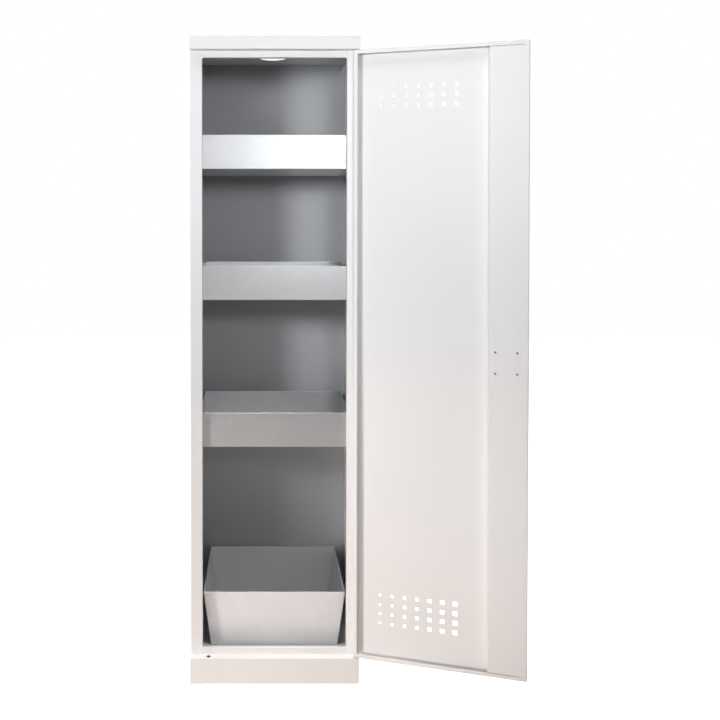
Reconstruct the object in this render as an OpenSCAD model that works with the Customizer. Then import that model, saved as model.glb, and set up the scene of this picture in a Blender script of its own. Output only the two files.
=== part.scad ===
// Tall one-door ventilated storage cabinet for chemicals: a folded sheet-steel carcass on a plinth,
// three galvanised tray shelves on hooked rails, a tapered sump tray on the floor, and a pan door
// on two pivots with a turn handle that drives an upper and a lower locking rod.
// Millimetres, +Z up, +X to the hinge side, the front faces -Y. The origin is on the floor, at the
// centre of the plinth's front foot flange. The door is drawn closed and then swung open.

/* [Body] */
// Overall width across the side panels
body_w = 510; // [460:5:600]
// Overall height from floor to lid
body_h = 1950; // [1850:5:2100]
// Overall depth from the front of the plinth to the back
body_d = 500; // [470:5:560]
// Thickness of the folded steel sheet
sheet_t = 1; // [0.8:0.1:1.2]
// Width of the inward flanges at the back and at the foot and head of the side panels
flange_w = 20; // [15:1:24]
// Depth of the rearward edge flanges of the back panel
back_flange = 11; // [8:1:14]

/* [Lid and plinth] */
// Height of the lid
cap_h = 39; // [34:1:50]
// Height of the plinth
plinth_h = 77; // [60:1:100]
// Width of the foot flanges that stand on the floor
foot_flange = 30; // [24:2:40]
// Distance of the front frame behind the front of the lid and plinth
frame_setback = 30; // [29:1:34]

/* [Front frame] */
// Width of a side stile of the front frame
stile_w = 36; // [32:1:42]
// Depth of the rearward return along the stiles and the top rail
return_d = 20; // [15:1:21]
// Visible height of the top rail
top_rail_h = 20; // [16:1:26]
// Visible height of the bottom rail
bottom_rail_h = 19; // [16:1:26]
// Depth of the top fold of the bottom rail
bottom_rail_fold = 10; // [8:1:14]
// Radius in the corners of the doorway
corner_r = 7; // [4:1:12]

/* [Lid openings] */
// Diameter of the exhaust hole in the lid
vent_d = 85; // [75:1:100]
// Distance from the front of the lid to the centre of the exhaust hole
vent_y = 369; // [350:1:390]
// Spacing of the square of four collar holes round the exhaust hole
collar_pitch = 104; // [92:1:120]
// Diameter of the collar holes
collar_hole_d = 5; // [4:0.5:6]
// Distance of the two tie holes from the sides of the lid
tie_side_inset = 23; // [18:1:40]
// Distance of the tie holes in front of the back of the lid
tie_inset = 19; // [16:1:24]
// Diameter of the tie holes
tie_hole_d = 6; // [5:0.5:8]

/* [Slotted strips] */
// Width of a slotted strip
strip_w = 30; // [24:1:36]
// Depth by which a strip stands off its side panel
strip_depth = 3; // [3:0.2:4]
// Distance from the returns of the front frame to the middle of the front strips
front_strip_inset = 40; // [30:1:60]
// Distance from the back panel to the middle of the rear strips
rear_strip_inset = 78; // [40:1:110]
// Height of the centre of the lowest slot above the plinth
first_slot_z = 68; // [60:1:80]
// Spacing of the slots
slot_pitch = 25; // [20:1:30]
// Least distance from a slot to the upper end of its strip
slot_margin = 40; // [20:1:60]
// Width of a slot
slot_w = 4; // [3.5:0.5:5]
// Height of a slot
slot_h = 12; // [11:1:14]

/* [Tray shelves] */
// Gap between a tray shelf and the upright leg of its rail
tray_side_gap = 16.5; // [4:0.5:24]
// Length that a tray shelf reaches past the back end of its rails
tray_overhang = 12.5; // [0:0.5:40]
// Height of a tray shelf
tray_h = 104; // [70:2:120]
// Distance from the returns of the front frame to the front of the tray shelves
tray_front_gap = 2.5; // [1:0.5:10]
// Height of the folded hem inside a tray rim
hem_h = 8; // [6:1:12]
// Slot that carries the lower tray shelf, counted from the bottom
lower_slot = 23; // [20:1:26]
// Slot that carries the middle tray shelf
middle_slot = 41; // [36:1:44]
// Slot that carries the upper tray shelf
upper_slot = 57; // [54:1:60]

/* [Tray rails] */
// Thickness of a tray rail
rail_t = 1.5; // [1.2:0.1:2]
// Height of the upright leg of a tray rail
rail_h = 40; // [36:1:50]
// Width of the level leg of a tray rail
rail_leg = 30; // [28:1:36]
// Length that a tray rail reaches past the middle of each strip
rail_overhang = 14; // [11:1:14]

/* [Sump tray] */
// Gap at each side of the sump tray in the doorway
sump_side_gap = 0.5; // [0.5:0.5:15]
// Gap between the sump tray and the back panel
sump_back_gap = 3.5; // [1:0.5:30]
// Height of the sump tray
sump_h = 174; // [140:2:200]
// Inward slope of each wall from rim to bottom
sump_taper = 22; // [10:1:30]
// Distance from the returns of the front frame to the rim of the sump tray
sump_front_gap = 16.5; // [2:0.5:30]

/* [Door] */
// Thickness of the door
door_t = 26; // [25:0.5:26.5]
// Distance of the closed door behind the front of the lid
door_recess = 0.5; // [0:0.1:0.5]
// Gap between the door and the side of the body
door_side_gap = 1.5; // [1:0.1:3]
// Gap between the door and the lid
door_top_gap = 2.5; // [2:0.1:4]
// Gap between the door and the plinth
door_foot_gap = 1.5; // [1.5:0.1:3]
// Angle by which the door stands open
door_open = 162; // [0:1:180]
// Distance from the hinge edge of the door to the pivot
pivot_inset = 7; // [7:0.1:8]
// Width of the inner lip at the top, foot and hinge edge
lip_w = 12; // [10:1:16]
// Width of the inner lip at the lock edge
lock_lip_w = 18; // [14:1:22]
// Width of the notch in the lower lip near the hinge
notch_w = 5; // [4:1:8]
// Distance of that notch from the hinge edge
notch_inset = 31; // [28:1:40]

/* [Door vents] */
// Number of holes across a vent
vent_cols = 7; // [5:1:9]
// Number of holes up the lower vent
lower_rows = 4; // [3:1:5]
// Number of holes up the upper vent
upper_rows = 3; // [2:1:4]
// Spacing of the holes across
vent_dx = 37.2; // [30:0.1:38]
// Spacing of the holes up
vent_dz = 28.3; // [24:0.1:32]
// Side of the smallest square hole, next to the hinge
vent_min = 7; // [5:0.5:9]
// Side of the largest square hole
vent_max = 14; // [11:0.5:16]
// Distance from the hinge edge to the first column of holes
vent_inset = 78; // [50:1:80]
// Height of the middle of the lower vent above the foot of the door
lower_vent_z = 147.5; // [120:0.5:200]
// Distance of the middle of the upper vent below the top of the door
upper_vent_drop = 139.5; // [100:0.5:200]

/* [Lock channel] */
// Width of the lock channel from the lock edge of the door
channel_w = 111; // [104:1:130]
// Width of the foot of the channel on the outer sheet
channel_foot = 12; // [8:1:16]
// Side of the square cover plate
plate_side = 72; // [70:1:80]
// Corner radius of the cover plate
plate_r = 5; // [3:1:8]
// Spacing of the four cover screws
screw_pitch = 61; // [58:1:62]
// Side of the square access hole under the cover plate
access_side = 50; // [44:1:50]
// Shank diameter of a cover screw
screw_d = 3.2; // [2.5:0.1:4]
// Head diameter of a cover screw
screw_head_d = 7; // [6:0.5:8]
// Head height of a cover screw
screw_head_h = 1.3; // [1:0.1:1.4]
// Shank length of a cover screw
screw_l = 6; // [4:0.5:8]

/* [Lock and handle] */
// Height of the handle axis above the foot of the door
lock_z = 910.5; // [850:0.5:1000]
// Distance from the lock edge of the door to the handle axis
backset = 61.5; // [58:0.5:63]
// Outside width of the lock case
case_w = 46; // [46:1:50]
// Outside height of the lock case
case_h = 74; // [74:1:84]
// Depth of the lock case
case_d = 18; // [17.5:0.5:19]
// Diameter of the handle spindle
spindle_d = 11; // [9:0.5:11]
// Radius at which the driving pins stand on the lock cam
crank_r = 15; // [14.5:0.1:15.5]
// Diameter of a driving pin
crank_pin_d = 4; // [3:0.1:4]
// Diameter of the lock cam
cam_d = 38; // [36:1:40]
// Thickness of the lock cam
cam_t = 4; // [3:0.5:4]
// Diameter of the handle rosette
rosette_d = 52; // [44:1:60]
// Thickness of the handle rosette
rosette_t = 3.5; // [2.5:0.5:5]
// Length of the handle grip
grip_l = 84; // [70:1:100]
// Width of the handle grip
grip_w = 17; // [14:1:20]
// Height of the handle grip
grip_h = 15; // [12:1:20]
// Diameter of the handle hub
hub_d = 38; // [34:1:44]
// Height of the handle hub
hub_h = 20; // [16:1:26]
// Diameter of the key core
core_d = 16; // [12:0.5:16]
// Thickness of the web between the key core and the spindle
core_web = 2; // [1:0.5:4]
// Length of the spindle inside the handle
spindle_reach = 8; // [6:0.5:9]

/* [Locking rods] */
// Diameter of a locking rod
rod_d = 8; // [6:0.5:8]
// Sideways distance of a rod from the handle axis
rod_offset = 8; // [7.5:0.1:8.5]
// Distance of a drawn-in rod end inside the door edge
rod_tip_inset = 1; // [0.5:0.5:2]
// Diameter of the rod holes in the lid and the plinth
rod_hole_d = 14; // [12:0.5:18]
// Thickness of the slotted plate at the lock end of a rod
link_t = 3; // [2:0.5:3]
// Height of a rod guide block
guide_h = 20; // [14:1:30]
// Width of a rod guide block
guide_w = 18; // [14:1:20]
// Distance of the outer guide of each rod from the door edge
guide_inset = 60; // [40:5:120]
// Distance of the inner guide of each rod from the handle axis
guide_inner = 260; // [150:10:400]

/* [Pivots] */
// Diameter of a door pivot pin
pin_d = 8; // [6:0.5:8]
// Length of a pin inside its bush
pin_reach = 7; // [5:0.5:10]
// Height of the collar of a pin inside the door
collar_h = 4; // [3:0.5:6]
// Diameter of the collar of a pin
collar_d = 11.4; // [10:0.2:11.4]
// Outside diameter of a pivot bush
bush_d = 12; // [11:0.5:13]
// Diameter of the bush flange
bush_flange_d = 16; // [15:0.5:16.5]
// Thickness of the bush flange
bush_flange_t = 1.2; // [1:0.1:1.2]

/* [Clearances] */
// Radial running clearance of rods, pins, spindle and key core
run_gap = 0.06; // [0.04:0.01:0.09]
// Gap under a loose tray and between neighbouring folded parts
seat_gap = 0.3; // [0.2:0.05:0.4]
// Gap at joints that are closed up by hand
fit_gap = 0.1; // [0.05:0.01:0.2]

/* [Hidden] */
$fn = 48;

// Colours of the finishes
powder_grey = "#E9E9E8";
inner_grey = "#DCDCDB";
galvanised = "#B9BBBE";
zinc_steel = "#A6A8AB";
black_plastic = "#26282A";
white_nylon = "#F2F1EC";

// Main planes of the body
front_y = -foot_flange / 2;
rear_y = front_y + body_d;
frame_y = front_y + frame_setback;
half_w = body_w / 2;
wall_x = half_w - sheet_t;
doorway_x = half_w - stile_w;
cap_z = body_h - cap_h;
ledge_y = frame_y + sheet_t + return_d;
back_y = rear_y - sheet_t - back_flange;
floor_z = plinth_h + 2 * sheet_t;
doorway_top = cap_z - top_rail_h;
doorway_foot = plinth_h + bottom_rail_h;

// Planes of the strips, rails and trays
strip_x = wall_x - strip_depth;
strip_foot = floor_z + fit_gap;
strip_head = cap_z - sheet_t - fit_gap;
front_strip = frame_y + return_d + front_strip_inset;
rear_strip = back_y - rear_strip_inset;
slot_count = 1 + floor((strip_head - slot_margin - plinth_h - first_slot_z) / slot_pitch);
rail_y0 = front_strip - rail_overhang;
rail_y1 = rear_strip + rail_overhang;
hook_w = slot_w - 1;
hook_grip = 5;
tray_lift = 11.5;
tray_x = strip_x - rail_t - tray_side_gap;
tray_y0 = frame_y + return_d + tray_front_gap;
tray_y1 = rail_y1 + tray_overhang;
sump_w = 2 * (doorway_x - sump_side_gap);
sump_y0 = frame_y + return_d + sump_front_gap;
sump_d = back_y - sump_back_gap - sump_y0;

// Planes of the closed door
door_x = half_w - door_side_gap;
door_y0 = front_y + door_recess;
door_y1 = door_y0 + door_t;
door_z0 = plinth_h + door_foot_gap;
door_z1 = cap_z - door_top_gap;
pivot_x = door_x - pivot_inset;
pivot_y = (door_y0 + door_y1) / 2;
channel_x = channel_w - door_x;
lock_lip_x = lock_lip_w - door_x;
handle_x = backset - door_x;
handle_z = door_z0 + lock_z;

// Stack of the lock along its axis, from the outer sheet inwards
case_wall = 1.5;
cam_y = door_y0 + sheet_t + case_wall + 1;
cam_back_y = cam_y + cam_t;
link_y = pivot_y - link_t / 2;
upper_rod_x = handle_x + rod_offset;
lower_rod_x = handle_x - rod_offset;
rod_travel = crank_r * sqrt(2);
pin_rest = crank_r / sqrt(2);
link_inner = spindle_d / 2 + 0.7;
link_outer = crank_r + crank_pin_d / 2 + 3;
link_slot_gap = 0.6;
link_foot = 3.5;
handle_y = door_y0 - rosette_t - seat_gap;
core_l = hub_h - spindle_reach - core_web;

// A block between two corners
module block(x0, x1, y0, y1, z0, z1) {
  translate([x0, y0, z0]) cube([x1 - x0, y1 - y0, z1 - z0]);
}

// An upright cylinder from z0 to z1
module post(x, y, z0, z1, d) {
  translate([x, y, z0]) cylinder(d = d, h = z1 - z0);
}

// A cylinder along Y from y0 to y1
module rod_y(x, z, y0, y1, d) {
  translate([x, y0, z]) rotate([-90, 0, 0]) cylinder(d = d, h = y1 - y0);
}

// Copies its children on the left and on the right side
module on_side(side) {
  mirror([side < 0 ? 1 : 0, 0, 0]) children();
}

// Swings a piece of the closed door open about the pivots
module on_door() {
  translate([pivot_x, pivot_y, 0]) rotate(door_open) translate([-pivot_x, -pivot_y, 0]) children();
}

// One side panel: web, front stile with its return, back flange, head and foot flanges
module side_panel(side) {
  color(powder_grey) on_side(side) {
    block(wall_x, half_w, frame_y, rear_y, plinth_h, cap_z);
    block(doorway_x, wall_x, frame_y, frame_y + sheet_t, plinth_h, cap_z);
    block(doorway_x, doorway_x + sheet_t, frame_y, frame_y + return_d, plinth_h, cap_z);
    block(wall_x - flange_w, wall_x, rear_y - sheet_t, rear_y, plinth_h, cap_z);
    block(wall_x - flange_w, wall_x, ledge_y, back_y - fit_gap, plinth_h, plinth_h + sheet_t);
    block(wall_x - flange_w, wall_x, ledge_y, back_y - fit_gap, cap_z - sheet_t, cap_z);
  }
}

// Back panel: a sheet with rearward edge flanges, set in from the back
module back_panel() {
  x = wall_x - fit_gap;
  z0 = plinth_h + fit_gap;
  z1 = body_h - sheet_t - fit_gap;
  y1 = rear_y - sheet_t - fit_gap;
  color(inner_grey) {
    block(-x, x, back_y, back_y + sheet_t, z0, z1);
    for (s = [-1, 1]) on_side(s) block(x - sheet_t, x, back_y, y1, z0, z1);
    block(-x, x, back_y, y1, z0, z0 + sheet_t);
    block(-x, x, back_y, y1, z1 - sheet_t, z1);
  }
}

// Floor panel, lying on the foot flanges of the side panels and on the bottom rail
module floor_panel() {
  x = wall_x - fit_gap;
  color(inner_grey) block(-x, x, ledge_y, back_y - fit_gap, floor_z - sheet_t, floor_z);
}

// The lid: a pan with a front ledge over the door and returns along the sides
module top_cap() {
  color(powder_grey) difference() {
    union() {
      block(-half_w, half_w, front_y, rear_y, body_h - sheet_t, body_h);
      block(-half_w, half_w, front_y, front_y + sheet_t, cap_z, body_h);
      block(-half_w, half_w, rear_y - sheet_t, rear_y, cap_z, body_h);
      block(-half_w, half_w, front_y, ledge_y, cap_z, cap_z + sheet_t);
      for (s = [-1, 1]) on_side(s) {
        block(wall_x, half_w, front_y, rear_y, cap_z, body_h);
        block(wall_x - flange_w, wall_x, front_y, back_y - fit_gap, cap_z, cap_z + sheet_t);
      }
    }
    lid_holes();
    post(pivot_x, pivot_y, cap_z - 1, cap_z + sheet_t + 1, bush_d);
    post(upper_rod_x, pivot_y, cap_z - 1, cap_z + sheet_t + 1, rod_hole_d);
  }
}

// Exhaust hole, its collar holes and the two tie holes of the lid
module lid_holes() {
  z0 = body_h - sheet_t - 1;
  z1 = body_h + 1;
  post(0, front_y + vent_y, z0, z1, vent_d);
  for (x = [-1, 1], y = [-1, 1])
    post(x * collar_pitch / 2, front_y + vent_y + y * collar_pitch / 2, z0, z1, collar_hole_d);
  for (s = [-1, 1]) post(s * (half_w - tie_side_inset), rear_y - tie_inset, z0, z1, tie_hole_d);
}

// Face of a doorway rail with a rounded inner corner at each end; up is +1 where it closes the top
module rail_face(z0, z1, up) {
  x = doorway_x - fit_gap;
  corner_z = up > 0 ? z0 - corner_r : z1 + corner_r;
  translate([0, frame_y + sheet_t, 0]) rotate([90, 0, 0]) linear_extrude(sheet_t) {
    translate([-x, z0]) square([2 * x, z1 - z0]);
    for (s = [-1, 1]) difference() {
      translate([s > 0 ? x - corner_r : -x, min(corner_z, corner_z + up * corner_r)])
        square([corner_r, corner_r]);
      translate([s * (x - corner_r), corner_z]) circle(r = corner_r);
    }
  }
}

// Top rail of the doorway: face, lower return and upper flange
module top_rail() {
  x = doorway_x - fit_gap;
  color(powder_grey) {
    rail_face(doorway_top, cap_z, 1);
    block(-x, x, frame_y, frame_y + return_d, doorway_top, doorway_top + sheet_t);
    block(-x, x, frame_y, frame_y + return_d, cap_z - sheet_t, cap_z);
  }
}

// Bottom rail of the doorway: face, upper fold and lower flange
module bottom_rail() {
  x = doorway_x - fit_gap;
  color(powder_grey) {
    rail_face(plinth_h, doorway_foot, -1);
    block(-x, x, frame_y, frame_y + bottom_rail_fold, doorway_foot - sheet_t, doorway_foot);
    block(-x, x, frame_y, ledge_y + flange_w, plinth_h, plinth_h + sheet_t);
  }
}

// Front of the plinth: web, foot flange and the ledge in front of and under the frame
module plinth_front() {
  color(powder_grey) difference() {
    union() {
      block(-half_w, half_w, front_y, front_y + sheet_t, 0, plinth_h);
      block(-half_w, half_w, front_y, front_y + foot_flange, 0, sheet_t);
      block(-half_w, half_w, front_y, ledge_y, plinth_h - sheet_t, plinth_h);
    }
    post(pivot_x, pivot_y, plinth_h - sheet_t - 1, plinth_h + 1, bush_d);
    post(lower_rod_x, pivot_y, plinth_h - sheet_t - 1, plinth_h + 1, rod_hole_d);
  }
}

// Back of the plinth
module plinth_rear() {
  color(powder_grey) {
    block(-half_w, half_w, rear_y - sheet_t, rear_y, 0, plinth_h);
    block(-half_w, half_w, rear_y - foot_flange, rear_y, 0, sheet_t);
    block(-half_w, half_w, rear_y - foot_flange, rear_y, plinth_h - sheet_t, plinth_h);
  }
}

// One side of the plinth, fitted between its front and its back
module plinth_side(side) {
  x0 = half_w - foot_flange;
  color(powder_grey) on_side(side) {
    block(wall_x, half_w, front_y + sheet_t, rear_y - sheet_t, sheet_t, plinth_h - sheet_t);
    block(x0, half_w, front_y + foot_flange, rear_y - foot_flange, 0, sheet_t);
    block(x0, half_w, ledge_y, rear_y - foot_flange, plinth_h - sheet_t, plinth_h);
  }
}

// One slotted strip: a shallow channel welded to the side panel, slots facing inwards
module slotted_strip(side, middle_y) {
  y0 = middle_y - strip_w / 2;
  y1 = y0 + strip_w;
  z0 = strip_foot;
  z1 = strip_head;
  color(inner_grey) on_side(side) difference() {
    union() {
      block(strip_x, strip_x + sheet_t, y0, y1, z0, z1);
      for (y = [y0, y1 - sheet_t]) block(strip_x, wall_x, y, y + sheet_t, z0, z1);
    }
    for (i = [1 : slot_count])
      translate([strip_x - 1, middle_y - slot_w / 2, slot_z(i) - slot_h / 2])
        cube([sheet_t + 2, slot_w, slot_h]);
  }
}

// Height of the centre of slot number i
function slot_z(i) = plinth_h + first_slot_z + (i - 1) * slot_pitch;

// Underside of the tray that hangs in slot number i
function tray_z(i) = slot_z(i) + tray_lift;

// One tray rail: an angle that hooks into the front and the rear strip and carries a tray edge
module tray_rail(side, slot) {
  top = tray_z(slot) - seat_gap;
  leg_z = slot_z(slot) - slot_h / 2 - rail_t;
  color(zinc_steel) on_side(side) {
    block(strip_x - rail_t, strip_x, rail_y0, rail_y1, leg_z, leg_z + rail_h);
    block(strip_x - rail_leg, strip_x, rail_y0, rail_y1, top - rail_t, top);
    for (y = [front_strip, rear_strip]) rail_hook(y - hook_w / 2, slot_z(slot));
  }
}

// One hook: a neck through the slot and a tab that drops behind the strip
module rail_hook(y, z) {
  z0 = z - slot_h / 2 + fit_gap;
  tab_z = z - slot_h / 2 - hook_grip;
  tab_x = strip_x + sheet_t + fit_gap;
  block(strip_x - rail_t / 2, tab_x + rail_t / 2, y, y + hook_w, z0, z);
  block(tab_x, tab_x + rail_t / 2, y, y + hook_w, tab_z, z);
}

// One tray shelf: a folded pan with a hem inside its rim
module tray(slot) {
  z = tray_z(slot);
  x = tray_x;
  y0 = tray_y0;
  y1 = tray_y1;
  top = z + tray_h;
  color(galvanised) {
    difference() {
      block(-x, x, y0, y1, z, top);
      block(sheet_t - x, x - sheet_t, y0 + sheet_t, y1 - sheet_t, z + sheet_t, top + 1);
    }
    difference() {
      block(-x, x, y0, y1, top - hem_h, top);
      translate([0, 0, -1])
        block(2 * sheet_t - x, x - 2 * sheet_t, y0 + 2 * sheet_t, y1 - 2 * sheet_t,
              top - hem_h, top + 2);
    }
  }
}

// A four-sided block that narrows downwards by the same slope on every side
module tapered_block(w, d, h, taper) {
  polyhedron(
    points = [
      for (level = [0, 1], corner = [[-1, -1], [1, -1], [1, 1], [-1, 1]])
        [corner[0] * (w / 2 - (1 - level) * taper), corner[1] * (d / 2 - (1 - level) * taper),
         level * h]
    ],
    faces = [[0, 1, 2, 3], [7, 6, 5, 4], [0, 4, 5, 1], [1, 5, 6, 2], [2, 6, 7, 3], [3, 7, 4, 0]]
  );
}

// Sump tray that stands on the floor panel, its walls sloping in towards the bottom
module sump_tray() {
  slope = sump_taper / sump_h;
  rim = 2 * sheet_t + slope * hem_h;
  translate([0, sump_y0 + sump_d / 2, floor_z + seat_gap]) color(galvanised) {
    difference() {
      tapered_block(sump_w, sump_d, sump_h, sump_taper);
      translate([0, 0, sheet_t])
        tapered_block(sump_w - 2 * sheet_t + 2 * slope, sump_d - 2 * sheet_t + 2 * slope,
                      sump_h - sheet_t + 1, slope * (sump_h - sheet_t + 1));
    }
    difference() {
      block(-sump_w / 2, sump_w / 2, -sump_d / 2, sump_d / 2, sump_h - hem_h, sump_h);
      block(rim - sump_w / 2, sump_w / 2 - rim, rim - sump_d / 2, sump_d / 2 - rim,
            sump_h - hem_h - 1, sump_h + 1);
    }
  }
}

// Square holes of a door vent, growing from the hinge towards the lock edge
module vent_holes(rows, middle_z) {
  for (c = [0 : vent_cols - 1], r = [0 : rows - 1]) {
    side = vent_min + (vent_max - vent_min) * c / (vent_cols - 1);
    x = door_x - vent_inset - c * vent_dx;
    z = middle_z + (r - (rows - 1) / 2) * vent_dz;
    translate([x - side / 2, door_y0 - 1, z - side / 2]) cube([side, sheet_t + 2, side]);
  }
}

// Door pan: outer sheet, four edges and the inner lips
module door_pan() {
  lip_y = door_y1 - sheet_t;
  color(powder_grey) on_door() difference() {
    union() {
      difference() {
        block(-door_x, door_x, door_y0, door_y1, door_z0, door_z1);
        block(sheet_t - door_x, door_x - sheet_t, door_y0 + sheet_t, door_y1 + 1,
              door_z0 + sheet_t, door_z1 - sheet_t);
      }
      difference() {
        block(-door_x, door_x, lip_y, door_y1, door_z0, door_z1);
        block(lock_lip_x, door_x - lip_w, lip_y - 1, door_y1 + 1, door_z0 + lip_w, door_z1 - lip_w);
      }
    }
    vent_holes(lower_rows, door_z0 + lower_vent_z);
    vent_holes(upper_rows, door_z1 - upper_vent_drop);
    rod_y(handle_x, handle_z, door_y0 - 1, door_y0 + sheet_t + 1, spindle_d + 1);
    for (p = [[upper_rod_x, door_z1], [lower_rod_x, door_z0]])
      post(p[0], pivot_y, p[1] - sheet_t - 1, p[1] + sheet_t + 1, rod_d + 1);
    for (z = [door_z0, door_z1])
      post(pivot_x, pivot_y, z - sheet_t - 1, z + sheet_t + 1, pin_d + 2 * run_gap);
    block(door_x - notch_inset - notch_w, door_x - notch_inset, lip_y - 1, door_y1 + 1,
          door_z0 + lip_w - notch_w / 2, door_z0 + lip_w + 1);
  }
}

// Lock channel: a cover flush with the lips, a side wall and a foot on the outer sheet
module lock_channel() {
  x0 = lock_lip_x + fit_gap;
  z0 = door_z0 + lip_w + fit_gap;
  z1 = door_z1 - lip_w - fit_gap;
  foot_y = door_y0 + sheet_t;
  color(powder_grey) on_door() difference() {
    union() {
      block(x0, channel_x, door_y1 - sheet_t, door_y1, z0, z1);
      block(channel_x - sheet_t, channel_x, foot_y, door_y1, z0, z1);
      block(channel_x - sheet_t, channel_x + channel_foot, foot_y, foot_y + sheet_t, z0, z1);
    }
    block(handle_x - access_side / 2, handle_x + access_side / 2, door_y1 - sheet_t - 1, door_y1 + 1,
          handle_z - access_side / 2, handle_z + access_side / 2);
    at_screws() rod_y(0, 0, door_y1 - sheet_t - 1, door_y1 + 1, screw_d + 2 * fit_gap);
  }
}

// Places its children at the four cover screws
module at_screws() {
  for (x = [-1, 1], z = [-1, 1])
    translate([handle_x + x * screw_pitch / 2, 0, handle_z + z * screw_pitch / 2]) children();
}

// Square plate with round corners that covers the lock
module lock_cover_plate() {
  straight = plate_side / 2 - plate_r;
  color(powder_grey) on_door() difference() {
    translate([handle_x, door_y1 + sheet_t, handle_z]) rotate([90, 0, 0])
      linear_extrude(sheet_t) {
        square([plate_side, 2 * straight], center = true);
        square([2 * straight, plate_side], center = true);
        for (x = [-1, 1], z = [-1, 1]) translate([x * straight, z * straight]) circle(r = plate_r);
      }
    at_screws() rod_y(0, 0, door_y1 - 1, door_y1 + sheet_t + 1, screw_d + 2 * fit_gap);
  }
}

// Four pan-head screws that hold the cover plate
module cover_screws() {
  seat = door_y1 + sheet_t;
  color(zinc_steel) on_door() at_screws() {
    rod_y(0, 0, seat, seat + screw_head_h, screw_head_d);
    rod_y(0, 0, seat - screw_l, seat, screw_d);
  }
}

// Lock case: an open box on the inside of the outer sheet, with a bore for each rod
module lock_case() {
  y0 = door_y0 + sheet_t;
  y1 = y0 + case_d;
  x = case_w / 2;
  z = case_h / 2;
  color(zinc_steel) on_door() translate([handle_x, 0, handle_z]) difference() {
    block(-x, x, y0, y1, -z, z);
    block(case_wall - x, x - case_wall, y0 + case_wall, y1 + 1, case_wall - z, z - case_wall);
    rod_y(0, 0, y0 - 1, y0 + case_wall + 1, spindle_d + 2 * run_gap);
    post(rod_offset, pivot_y, z - case_wall - 1, z + 1, rod_d + 2 * seat_gap);
    post(-rod_offset, pivot_y, -z - 1, case_wall - z + 1, rod_d + 2 * seat_gap);
  }
}

// Round rosette under the handle
module handle_rosette() {
  color(black_plastic) on_door() difference() {
    rod_y(handle_x, handle_z, door_y0 - rosette_t, door_y0, rosette_d);
    rod_y(handle_x, handle_z, door_y0 - rosette_t - 1, door_y0 + 1, spindle_d + 1);
  }
}

// Turn handle: a round hub with a long grip across it, bored for the spindle and the key core
module turn_handle() {
  top = handle_y - hub_h;
  grip_reach = grip_l / 2 - grip_w / 2;
  color(black_plastic) on_door() difference() {
    union() {
      rod_y(handle_x, handle_z, top, handle_y, hub_d);
      translate([handle_x, top, handle_z]) rotate([-90, 0, 0]) linear_extrude(grip_h) {
        square([2 * grip_reach, grip_w], center = true);
        for (s = [-1, 1]) translate([s * grip_reach, 0]) circle(d = grip_w);
      }
    }
    rod_y(handle_x, handle_z, top - 1, top + core_l, core_d + 2 * run_gap);
    rod_y(handle_x, handle_z, handle_y - spindle_reach + seat_gap, handle_y + 1,
          spindle_d + 2 * run_gap);
  }
}

// Spindle from the handle through the sheet and the case to the cam
module handle_spindle() {
  color(zinc_steel) on_door()
    rod_y(handle_x, handle_z, handle_y - spindle_reach + 2 * seat_gap, cam_back_y, spindle_d);
}

// Lock cam with one driving pin on each side, at the bottom of its stroke for the upper rod
module lock_cam() {
  color(zinc_steel) on_door() translate([handle_x, 0, handle_z]) difference() {
    union() {
      rod_y(0, 0, cam_y, cam_back_y, cam_d);
      for (s = [-1, 1])
        rod_y(s * pin_rest, -s * pin_rest, cam_back_y, link_y + link_t + 1, crank_pin_d);
    }
    rod_y(0, 0, cam_y - 1, cam_back_y + 1, spindle_d + 2 * run_gap);
  }
}

// Key core in the front of the handle, with its keyway
module key_core() {
  top = handle_y - hub_h;
  color(zinc_steel) on_door() difference() {
    rod_y(handle_x, handle_z, top, top + core_l - seat_gap, core_d);
    translate([handle_x - 0.7, top - 1, handle_z - core_d / 4]) cube([1.4, 6, core_d / 2]);
  }
}

// One locking rod with the slotted plate that its driving pin moves; way is +1 for the upper rod
module locking_rod(way) {
  tip = way > 0 ? door_z1 - rod_tip_inset - handle_z : handle_z - door_z0 - rod_tip_inset;
  slot_h_half = crank_pin_d / 2 + link_slot_gap;
  foot = pin_rest + slot_h_half + link_foot;
  head = 10;
  color(zinc_steel) on_door() translate([handle_x, 0, handle_z]) rotate([0, way > 0 ? 0 : 180, 0])
    difference() {
      union() {
        post(rod_offset, pivot_y, -2, tip, rod_d);
        block(link_inner, link_outer, link_y, link_y + link_t, -foot, head);
      }
      block(pin_rest - crank_pin_d / 2 - 0.4, crank_r + crank_pin_d / 2 + 0.4,
            link_y - 3, link_y + link_t + 3, -pin_rest - slot_h_half, slot_h_half - pin_rest);
    }
}

// Four guide blocks, two to a rod, fixed to the inside of the outer sheet
module rod_guides() {
  y0 = door_y0 + sheet_t;
  places = [
    [upper_rod_x, door_z1 - guide_inset], [upper_rod_x, handle_z + guide_inner],
    [lower_rod_x, handle_z - guide_inner], [lower_rod_x, door_z0 + guide_inset]
  ];
  color(black_plastic) on_door() for (p = places) difference() {
    block(p[0] - guide_w / 2, p[0] + guide_w / 2, y0, pivot_y + rod_d / 2 + 3,
          p[1] - guide_h / 2, p[1] + guide_h / 2);
    post(p[0], pivot_y, p[1] - guide_h, p[1] + guide_h, rod_d + 2 * run_gap);
  }
}

// One pivot pin with a collar inside the door; way is +1 at the top
module pivot_pin(way) {
  edge = way > 0 ? door_z1 : door_z0;
  hole = way > 0 ? cap_z : plinth_h;
  inside = edge - way * sheet_t;
  tip = hole + way * pin_reach;
  color(zinc_steel) on_door() {
    post(pivot_x, pivot_y, min(inside, tip), max(inside, tip), pin_d);
    post(pivot_x, pivot_y, min(inside, inside - way * collar_h),
         max(inside, inside - way * collar_h), collar_d);
  }
}

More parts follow.
